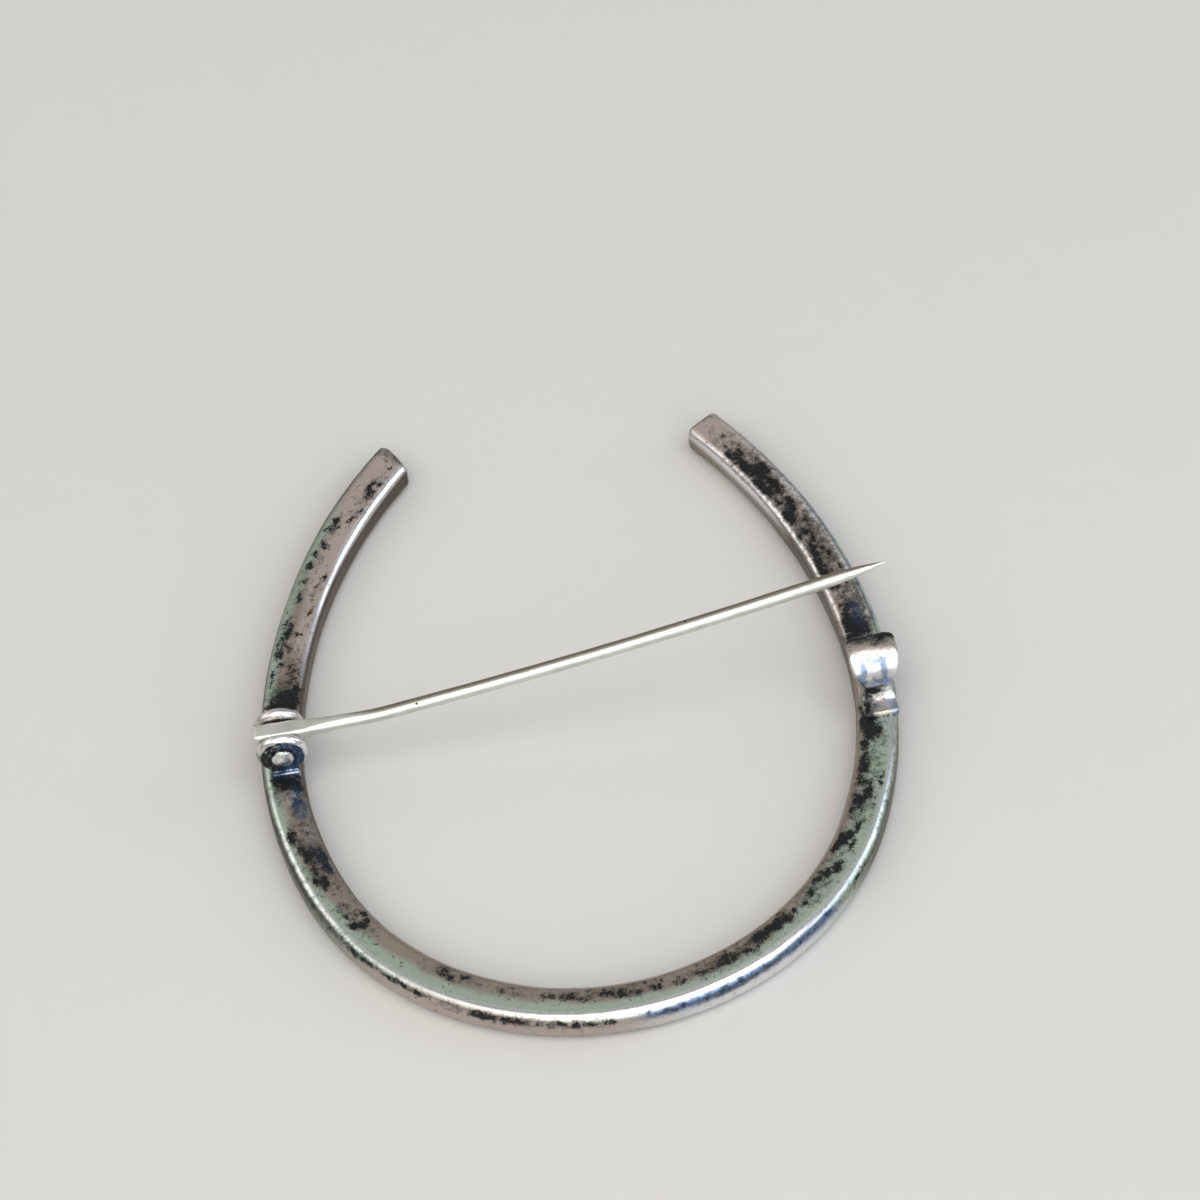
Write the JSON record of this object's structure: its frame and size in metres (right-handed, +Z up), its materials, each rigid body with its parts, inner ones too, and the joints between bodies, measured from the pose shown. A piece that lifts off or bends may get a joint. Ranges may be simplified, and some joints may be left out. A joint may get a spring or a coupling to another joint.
{
  "type": "horseshoe brooch",
  "caption": "Plain silver horseshoe brooch seen from its back, with a riveted hinged pin lifted clear of an open hook catch.",
  "frame": {"origin": "centre of the object's box on the surface that the front face lies on", "axes": "+Y from the toe to the open heel, +X from the hinge to the catch, +Z up out of the back of the brooch"},
  "size_m": [0.0508, 0.0602, 0.015],
  "materials": {
    "aged_silver": "worn silver with black tarnish",
    "pin_silver": "satin, rubbed lengthwise"
  },
  "bodies": {
    "brooch": {"horseshoe": "aged_silver", "hinge_rivet": "aged_silver"},
    "pin_arm": {"pin": "pin_silver"}
  },
  "joints": [
    {"name": "pin_hinge", "type": "hinge", "parent": "brooch", "child": "pin_arm", "pos_m": [-0.02336, -0.00106, 0.005], "axis": [0.0244, -0.9997, 0], "range_deg": [-11.5, 84]}
  ]
}
